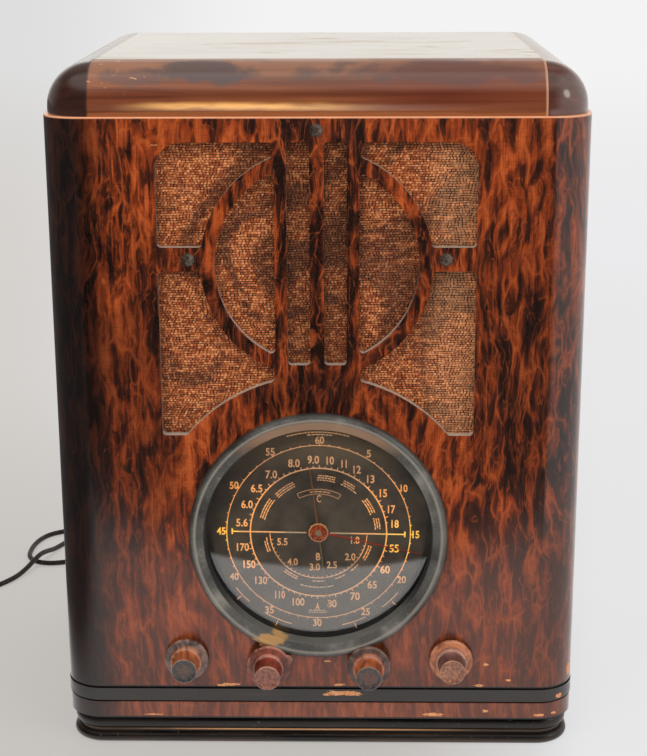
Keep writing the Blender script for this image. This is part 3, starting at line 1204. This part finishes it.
def addKnob(name, look):
    low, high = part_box(name)
    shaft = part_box(look["body"] + "_shaft")
    centre = ((shaft[0].x + shaft[1].x) / 2, (shaft[0].z + shaft[1].z) / 2)
    skirt, thick, neck, collar, grip, face, length, bore = (
        knobShape[key] for key in ("skirt", "skirtThick", "neck", "collar", "grip", "face", "length", "bore"))
    r = knobShape["rimRound"]
    dished = length - knobShape["dish"]
    profile = [(bore, 0.0), (skirt - 0.5, 0.0)]
    profile += arcPoints(skirt - 0.5, 0.5, 0.5, -90, 0, 3)
    profile += arcPoints(skirt - 1.1, thick - 1.1, 1.1, 0, 80)
    profile += [(neck + 1.2, thick + 0.35)]
    profile += arcPoints(neck + 1.2, thick + 1.55, 1.2, 270, 180)
    profile += arcPoints(neck - 1.0, collar, 0.8, 0, 75)
    profile += [(grip + 0.5, collar + 1.1), (grip, collar + 1.8), (grip - 0.35, collar + 6), (grip - 0.3, length - 4)]
    profile += arcPoints(face - r + 0.05, length - r, r, 5, 100)
    profile += [(face - 1.6, length - 0.3), (face - 2.6, dished), (face - 5, dished - 0.1), (0, dished - 0.1)]
    mesh = bmesh.new()
    lathe(mesh, [(a * mm, b * mm) for a, b in profile], (centre[0], high.y, centre[1]), 96)
    # bore for the shaft
    depth = high.y - shaft[0].y
    lathe(mesh, [(bore * mm, 0), (bore * mm, depth), (0, depth)], (centre[0], high.y, centre[1]), 96)
    bmesh.ops.remove_doubles(mesh, verts=mesh.verts, dist=0.001 * mm)
    bmesh.ops.recalc_face_normals(mesh, faces=mesh.faces)
    if name == "band_knob":
        addPointer(mesh, centre, high.y)
    finish = knobFinish(name + "_moulding", look, centre, low.y)
    piece = newPiece(name + "_turned", mesh, finish, look["body"])
    softenEdges(piece, 50)
    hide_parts(name)


def addPointer(mesh, centre, back):
    # nose on the skirt's rim, rounded over
    turn = radians(20)
    base, tip, wide = 13.2, 19.3, 5.2
    steps = 7
    rows = []
    for k in range(steps + 1):
        t = k / steps
        half = wide * (1 - t) ** 0.8 + 0.75
        tall = 3.3 * (1 - 0.35 * t)
        r = base + (tip - base) * t
        row = []
        for u, v in ((-half, 0.4), (-half, tall * 0.75), (-half * 0.5, tall), (half * 0.5, tall),
                     (half, tall * 0.75), (half, 0.4)):
            x = r * cos(turn) - u * sin(turn)
            z = r * sin(turn) + u * cos(turn)
            row.append(mesh.verts.new((centre[0] + x * mm, back - v * mm, centre[1] + z * mm)))
        rows.append(row)
    made = []
    for a, b in zip(rows, rows[1:]):
        for k in range(6):
            made.append(mesh.faces.new((a[k], a[(k + 1) % 6], b[(k + 1) % 6], b[k])))
    made.append(mesh.faces.new(rows[0][::-1]))
    made.append(mesh.faces.new(rows[-1]))
    bmesh.ops.recalc_face_normals(mesh, faces=made)


for knobName, knobLook in knobs.items():
    addKnob(knobName, knobLook)
print("knobs turned")

# metals inside: dull and bright colour, roughness, grain, stain, how metallic; and the nodes
metals = {
    "plated_sheet": (("6f6b62", "a19d92", (0.35, 0.6), (40, 40, 40), "6a5a45", 0.8), ("dial_pan", "chassis")),
    "plated_bolts": (("55524c", "8c8a84", (0.3, 0.5)), ("chassis_bolts",)),
    "cast_aluminium": (("8d8f8f", "b9bbba", (0.35, 0.6)), ("capacitor_frame",)),
    "plate_aluminium": (("a6a8a8", "cfd1d0", (0.2, 0.4), (10, 200, 10)), ("capacitor_stator", "capacitor_rotor")),
    "spun_aluminium": (("8f908e", "c3c4c1", (0.25, 0.5), (300, 300, 12), "77746c"), ("shield_cans", "filter_cans")),
    "cut_brass": (("7d6230", "b8964e", (0.25, 0.5), (120, 120, 120), "5b4322"),
                  ("drive_drum", "idler_gear", "vernier_tube", "tuning_bushing", "plug_pins")),
    "ground_steel": (("8a8c8d", "c2c4c5", (0.15, 0.35), (20, 900, 20)),
                     ("tuning_shaft", "volume_shaft", "tone_shaft", "band_shaft")),
    "control_cases": (("5c5850", "8b867b", (0.35, 0.6), (80, 80, 80), "5a4630", 0.8), ("control_bodies",)),
    "black_iron": (("171614", "34312d", (0.45, 0.7), (50, 50, 50), "5a3a22", 0.35), ("speaker_basket", "field_pot")),
}
# moulded, pressed and rubber pieces: dull and bright colour, roughness, sheen; and the nodes
mouldings = {
    "moulded_brown": (("1d0f0a", "3a2115"), ("tube_bases", "plug_body")),
    "pressed_board": (("5b3a20", "8a6238", (0.6, 0.8)), ("band_switch", "tube_sockets")),
    "old_rubber": (("14110f", "2c2723", (0.6, 0.85)), ("drive_belt", "cord_sleeve")),
    "cone_paper_fibre": (("17130f", "2e271f", (0.8, 0.95), 0.2), ("speaker_cone", "cone_surround")),
}
inside = {"iron": "403b35", "ironDark": "1d1b19", "sheetGap": "0c0b0a", "copper": "9a4f26", "copperDark": "4a1f0e",
          "varnish": "2e1509", "lampLow": "ffd27a", "lampHigh": "fff0c0", "filamentLow": "ffb648",
          "filamentHigh": "ffd890", "lampPower": 2.5}


def metalFinish(name, dull, bright, rough=(0.3, 0.55), grain=(60, 60, 60), stain=None, metallic=1.0):
    material, tree = newFinish(name, {"Metallic": metallic})
    wash = cloud(tree, place(tree, grain), 1, 5, 0.6)
    fine = cloud(tree, place(tree), 900, 2)
    base = over(tree, stretch(tree, wash, 0.35, 0.68), dull, bright)
    if stain:
        base = over(tree, stretch(tree, cloud(tree, place(tree), 26, 5, 0.65), 0.55, 0.72, 0, 0.7), base, stain)
    return setSockets(material, {"Base Color": base, "Roughness": stretch(tree, wash, 0.3, 0.7, *rough),
                                 "Normal": relief(tree, fine, 0.03 * mm, 0.4)})


def mouldedFinish(name, dull, bright, rough=(0.3, 0.5), sheen=0.0):
    material, tree = newFinish(name, {"Sheen Weight": sheen})
    mottled = cloud(tree, place(tree), 120, 5, 0.6)
    fine = cloud(tree, place(tree), 1300, 2)
    return setSockets(material, {"Base Color": over(tree, stretch(tree, mottled, 0.35, 0.7), dull, bright),
                                 "Roughness": stretch(tree, mottled, 0.3, 0.7, *rough),
                                 "Normal": relief(tree, fine, 0.05 * mm, 0.4)})


def laminationFinish():
    material, tree = newFinish("stacked_iron", {"Metallic": 0.4})
    sheets = put(tree, "TexWave", {"Vector": place(tree), "Scale": 260, "Distortion": 0.3},
                 bands_direction="Z").outputs[0]
    wash = cloud(tree, place(tree), 60, 4)
    base = over(tree, stretch(tree, wash, 0.35, 0.7), inside["ironDark"], inside["iron"])
    base = over(tree, stretch(tree, sheets, 0.2, 0.6, 0.5, 0.0), base, inside["sheetGap"])
    return setSockets(material, {"Base Color": base, "Roughness": stretch(tree, wash, 0.3, 0.7, 0.4, 0.65),
                                 "Normal": relief(tree, sheets, 0.15 * mm, 0.5)})


def windingFinish():
    material, tree = newFinish("wound_copper", {"Coat Weight": 0.4})
    turns = put(tree, "TexWave", {"Vector": place(tree), "Scale": 300, "Distortion": 0.6},
                bands_direction="Y").outputs[0]
    base = ramp(tree, turns, (0.1, inside["copperDark"]), (0.6, inside["copper"]))
    base = over(tree, stretch(tree, cloud(tree, place(tree), 70, 4), 0.5, 0.7, 0, 0.5), base, inside["varnish"])
    return setSockets(material, {"Base Color": base, "Normal": relief(tree, turns, 0.2 * mm, 0.6)})


def lampFinish():
    material, tree = newFinish("lit_lamp", {"Roughness": 0.2, "Emission Strength": inside["lampPower"],
                                            "Transmission Weight": 0.3})
    warm = cloud(tree, place(tree), 200, 2)
    light = ramp(tree, warm, (0.3, inside["filamentLow"]), (0.7, inside["filamentHigh"]))
    return setSockets(material, {"Base Color": ramp(tree, warm, (0.3, inside["lampLow"]), (0.7, inside["lampHigh"])),
                                 "Emission Color": light})


for finishName, (look, carriers) in metals.items():
    paint(metalFinish(finishName, *look), *carriers)
for finishName, (look, carriers) in mouldings.items():
    paint(mouldedFinish(finishName, *look), *carriers)
paint(laminationFinish(), "power_transformer", "output_transformer")
paint(windingFinish(), "field_coil")
paint(lampFinish(), "dial_lamps")
print("metals and mouldings done")

# tubes: blown glass with a silvered crown, plates and mica inside; sizes in millimetres
tube = {"wall": 0.8, "lowRadius": 14.8, "wideRadius": 17.8, "domeRadius": 11.7, "plateRadius": 8.2, "micaRadius": 10.6,
        "heights": (4, 27, 41, 53, 67), "plateHeights": (32, 63), "micaHeights": (29.5, 66), "glass": "dfe6e2",
        "silver": "b9b7ae", "silverDark": "5d5b55", "plate": "35332f", "plateDark": "1d1c1a", "mica": "c9b98c",
        "micaDark": "9a8a60"}


def islands(name):
    # the separate solids of a node, as pairs of corners
    mesh = bmesh.new()
    mesh.from_mesh(nodes[name].data)
    bmesh.ops.remove_doubles(mesh, verts=mesh.verts, dist=0.01 * mm)
    left = set(mesh.verts)
    found = []
    while left:
        wave = [left.pop()]
        points = []
        while wave:
            vertex = wave.pop()
            points.append(vertex.co.copy())
            for edge in vertex.link_edges:
                other = edge.other_vert(vertex)
                if other in left:
                    left.remove(other)
                    wave.append(other)
        found.append((Vector([min(p[i] for p in points) for i in range(3)]),
                      Vector([max(p[i] for p in points) for i in range(3)])))
    mesh.free()
    return sorted(found, key=lambda box: (round(box[0].x, 4), box[0].y))


def tubeProfile(inset, top):
    foot, flare, bulb, shoulder, dome = tube["heights"]
    low, wide, crown = tube["lowRadius"] - inset, tube["wideRadius"] - inset, tube["domeRadius"] - inset
    middle = top - tube["domeRadius"]
    points = [(low, foot + inset), (low, flare - 2), (low + 0.25, flare + 1), (wide - 0.6, bulb - 3), (wide, bulb + 1),
              (wide, shoulder - 3), (wide - 0.5, shoulder), (wide - 3.2, shoulder + 7), (crown + 0.7, dome - 2),
              (crown, dome + 2), (crown, middle)]
    return points + arcPoints(0, middle, crown, 0, 90, 12)[1:]


def addTubes():
    boxes = islands("tube_glass")
    base = boxes[0][0].z - tube["heights"][0] * mm
    top = (boxes[0][1].z - base) / mm
    glass, silver, plates, mica = bmesh.new(), bmesh.new(), bmesh.new(), bmesh.new()
    outer, inner = tubeProfile(0, top), tubeProfile(tube["wall"], top)
    shell, core = (tubeProfile(tube["wall"] + gap, top)[11:-1] for gap in (0.15, 0.35))
    shellTop = shell[-1][1] + 0.25
    plateLow, plateTop = tube["plateHeights"]

    def oval(r, height, a):
        # flattened, with a ridge at each side
        return r * (0.72 + 0.28 * abs(cos(a))) + (2.0 * mm if abs(cos(a)) > 0.985 and r > 5 * mm else 0)

    def notched(r, height, a):
        return r - (0.5 * mm if r > 5 * mm and cos(16 * a) > 0 else 0)

    for number, (low, high) in enumerate(boxes):
        x, y = (low.x + high.x) / 2, (low.y + high.y) / 2

        def upright(mesh, profile, sides, ripple=None, shift=(0, 0)):
            lathe(mesh, [(r * mm, h * mm) for r, h in profile], (x + shift[0] * mm, y + shift[1] * mm, base),
                  sides, "z", ripple)

        upright(glass, [(0, outer[0][1])] + outer[:-1] + [(0, outer[-1][1])], 48)
        upright(glass, [(0, inner[-1][1])] + inner[-2::-1] + [(0, inner[0][1])], 48)
        # silvering inside the crown
        upright(silver, shell + [(0, shellTop)], 48)
        upright(silver, [(0, shellTop - 0.2)] + core[::-1], 48)
        # plates, their four rods, the pinch they stand on, and two micas
        radius = tube["plateRadius"] * (1 if number % 2 else 0.8)
        upright(plates, [(0, plateLow), (radius, plateLow), (radius, plateTop), (0, plateTop)], 48, oval)
        for shift in ((-radius - 1.5, 0), (radius + 1.5, 0), (0, radius * 0.9), (0, -radius * 0.9)):
            upright(plates, [(0, 10), (0.5, 10), (0.5, 69), (0, 69)], 8, shift=shift)
        upright(plates, [(0, 6), (7, 6), (4.5, 14), (3.6, 22), (0, 23)], 24)
        for height in tube["micaHeights"]:
            wide = tube["micaRadius"]
            upright(mica, [(0, height), (wide, height), (wide, height + 0.5), (0, height + 0.5)], 32, notched)
    for mesh in (glass, silver, plates, mica):
        bmesh.ops.remove_doubles(mesh, verts=mesh.verts, dist=0.001 * mm)
    bulbGlass = clearGlass("bulb_glass", 1.45, tube["glass"])
    tree = bulbGlass.node_tree
    setSockets(bulbGlass, {"Normal": relief(tree, cloud(tree, place(tree), 40, 2), 0.1 * mm, 0.15)})
    bulbs = newPiece("tube_bulbs", glass, bulbGlass, "cabinet")
    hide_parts("tube_glass")
    mirror = metalFinish("getter_silver", tube["silverDark"], tube["silver"], (0.08, 0.3))
    carbon = metalFinish("carbon_plates", tube["plateDark"], tube["plate"], (0.5, 0.8))
    flake = mouldedFinish("mica_sheet", tube["micaDark"], tube["mica"], (0.3, 0.5))
    for name, mesh, finish, smooth in (("tube_silvering", silver, mirror, True), ("tube_plates", plates, carbon, True),
                                       ("tube_micas", mica, flake, False)):
        softenEdges(newPiece(name, mesh, finish, "cabinet", smooth))


addTubes()
print("tubes done")

# floor, world and lamps
studio = {"floorNear": "c8c4bf", "floorLeft": "d6d2ce", "floorRight": "ececee", "floorFar": "f6f6f6",
          "farLeft": "e0e0e0", "floorMatt": "cfcdcb", "floorGloss": "f6f2f0", "backdrop": "f6f6f6",
          "light": "ffffff", "mirrored": "fdf8f2", "halfFloor": 15, "floorDrop": 0.4 * mm, "paleEdge": -0.488,
          "edgeBend": 2.7, "glossFloor": 1.08, "roomDark": 0.03, "worldLight": 0.55, "dimmest": 0.035,
          "lampToward": (0.797, -0.394, 0.458), "lampTint": (1, 0.97, 0.93)}
lamps = [{"name": "key", "place": (-1.1, -1.5, 1.9), "aim": (0, -0.1, 0.25), "size": 1.3, "power": 26},
         {"name": "fill", "place": (1.5, -1.2, 1.5), "aim": (0, -0.1, 0.25), "size": 1.4, "power": 14},
         {"name": "back", "place": (0.3, 1.6, 1.9), "aim": (0, 0, 0.3), "size": 1.6, "power": 16}]


def mixShaders(tree, share, below, above):
    return put(tree, "MixShader", {0: share, 1: below.outputs[0], 2: above.outputs[0]})


def floorFinish():
    material = bpy.data.materials.new("paper_floor")
    material.use_nodes = True
    tree = material.node_tree
    tree.nodes.clear()
    x, y = coordinate(tree, "X"), coordinate(tree, "Y")
    # paler away from the set, with its own tone on the left and on the right
    column = reckon(tree, "DIVIDE", x, plus(tree, y, 1.6))
    leftward = stretch(tree, column, -0.2, -0.03)
    rightward = stretch(tree, column, 0.02, 0.15)
    near = over(tree, rightward, studio["floorNear"], studio["floorRight"])
    middle = over(tree, leftward, studio["floorLeft"], studio["floorRight"])
    far = over(tree, leftward, studio["farLeft"], studio["floorFar"])
    pale = over(tree, stretch(tree, y, 0.1, 1.0), near, over(tree, stretch(tree, y, 1.3, 6.0), middle, far))
    away = reckonVector(tree, "LENGTH", place(tree), result="Value")
    matt = put(tree, "BsdfDiffuse", {"Color": studio["floorMatt"]})
    seen = put(tree, "Emission", {"Color": pale, "Strength": 1.0})
    bright = reckon(tree, "MAXIMUM", stretch(tree, away, 0.5, 2.0, 0.7, 0.96), times(tree, rightward, 0.86))
    shown = mixShaders(tree, bright, matt, seen)
    # what the polished front mirrors: pale near the set and to its right, dark in the room beyond
    depth = plus(tree, y, times(tree, x, x, studio["edgeBend"]))
    glow = stretch(tree, depth, studio["paleEdge"] - 8 * mm, studio["paleEdge"] + 8 * mm, studio["roomDark"],
                   studio["glossFloor"])
    glow = times(tree, glow, stretch(tree, x, -0.42, -0.2, 0.12, 1.0))
    mirrored = put(tree, "Emission", {"Color": studio["floorGloss"], "Strength": glow})
    rays = put(tree, "LightPath").outputs
    forCamera = mixShaders(tree, rays["Is Camera Ray"], matt, shown)
    forGloss = mixShaders(tree, rays["Is Glossy Ray"], forCamera, mirrored)
    tree.links.new(forGloss.outputs[0], put(tree, "OutputMaterial").inputs[0])
    return material


def addFloor():
    mesh = bmesh.new()
    half, drop = studio["halfFloor"], studio["floorDrop"]
    mesh.faces.new([mesh.verts.new((x * half, y * half, -drop)) for x, y in ((-1, -1), (1, -1), (1, 1), (-1, 1))])
    data = bpy.data.meshes.new("floor")
    mesh.to_mesh(data)
    mesh.free()
    data.materials.append(floorFinish())
    paper = bpy.data.objects.new("floor", data)
    bpy.context.scene.collection.objects.link(paper)


def addWorld():
    world = bpy.data.worlds.new("studio")
    bpy.context.scene.world = world
    world.use_nodes = True
    tree = world.node_tree
    tree.nodes.clear()
    toward = put(tree, "TexCoord").outputs["Generated"]
    x, y, z = (axis(tree, toward, letter) for letter in "XYZ")
    # what polished wood and glass see: dark in front, bright behind and to the right, less so on the left
    behind = times(tree, stretch(tree, y, -0.1, 0.5, 0.0, 0.86), stretch(tree, z, 0.6, 0.25, 0.25, 1.0),
                   stretch(tree, stretch(tree, x, -0.25, -0.8), 0.0, 1.0, 1.0, 0.35))
    right = stretch(tree, x, 0.3, 0.85)
    # one low soft light in front, a small lamp high on the right, a soft light above
    strip = times(tree, band(tree, z, -0.16, -0.02, 0.06, 0.2), band(tree, x, -0.14, -0.09, 0.0, 0.07),
                  stretch(tree, y, 0.0, -0.3, 0, 1.6))
    lamp = reckonVector(tree, "DOT_PRODUCT", toward, studio["lampToward"], "Value")
    lamp = stretch(tree, lamp, 0.985, 0.993, 0, 4.0)
    above = times(tree, stretch(tree, z, 0.6, 0.85, 0.0, 0.75), stretch(tree, y, 0.3, 0.0))
    gloss = plus(tree, reckon(tree, "MAXIMUM", behind, right), strip, lamp, above, studio["dimmest"])
    white = put(tree, "Background", {"Color": studio["backdrop"], "Strength": 1.0})
    soft = put(tree, "Background", {"Color": studio["light"], "Strength": studio["worldLight"]})
    mirrored = put(tree, "Background", {"Color": studio["mirrored"], "Strength": gloss})
    rays = put(tree, "LightPath").outputs
    forCamera = mixShaders(tree, rays["Is Camera Ray"], soft, white)
    forGloss = mixShaders(tree, rays["Is Glossy Ray"], forCamera, mirrored)
    tree.links.new(forGloss.outputs[0], put(tree, "OutputWorld").inputs[0])


def addLamps():
    for lamp in lamps:
        light = bpy.data.lights.new(lamp["name"], "AREA")
        light.energy = lamp["power"]
        light.size = lamp["size"]
        light.color = studio["lampTint"]
        holder = bpy.data.objects.new(lamp["name"], light)
        bpy.context.scene.collection.objects.link(holder)
        holder.location = lamp["place"]
        holder.visible_glossy = False
        toward = Vector(lamp["aim"]) - Vector(lamp["place"])
        holder.rotation_euler = toward.to_track_quat("-Z", "Y").to_euler()


addFloor()
addWorld()
addLamps()
bpy.context.scene.view_settings.view_transform = "Standard"
print("studio lit")
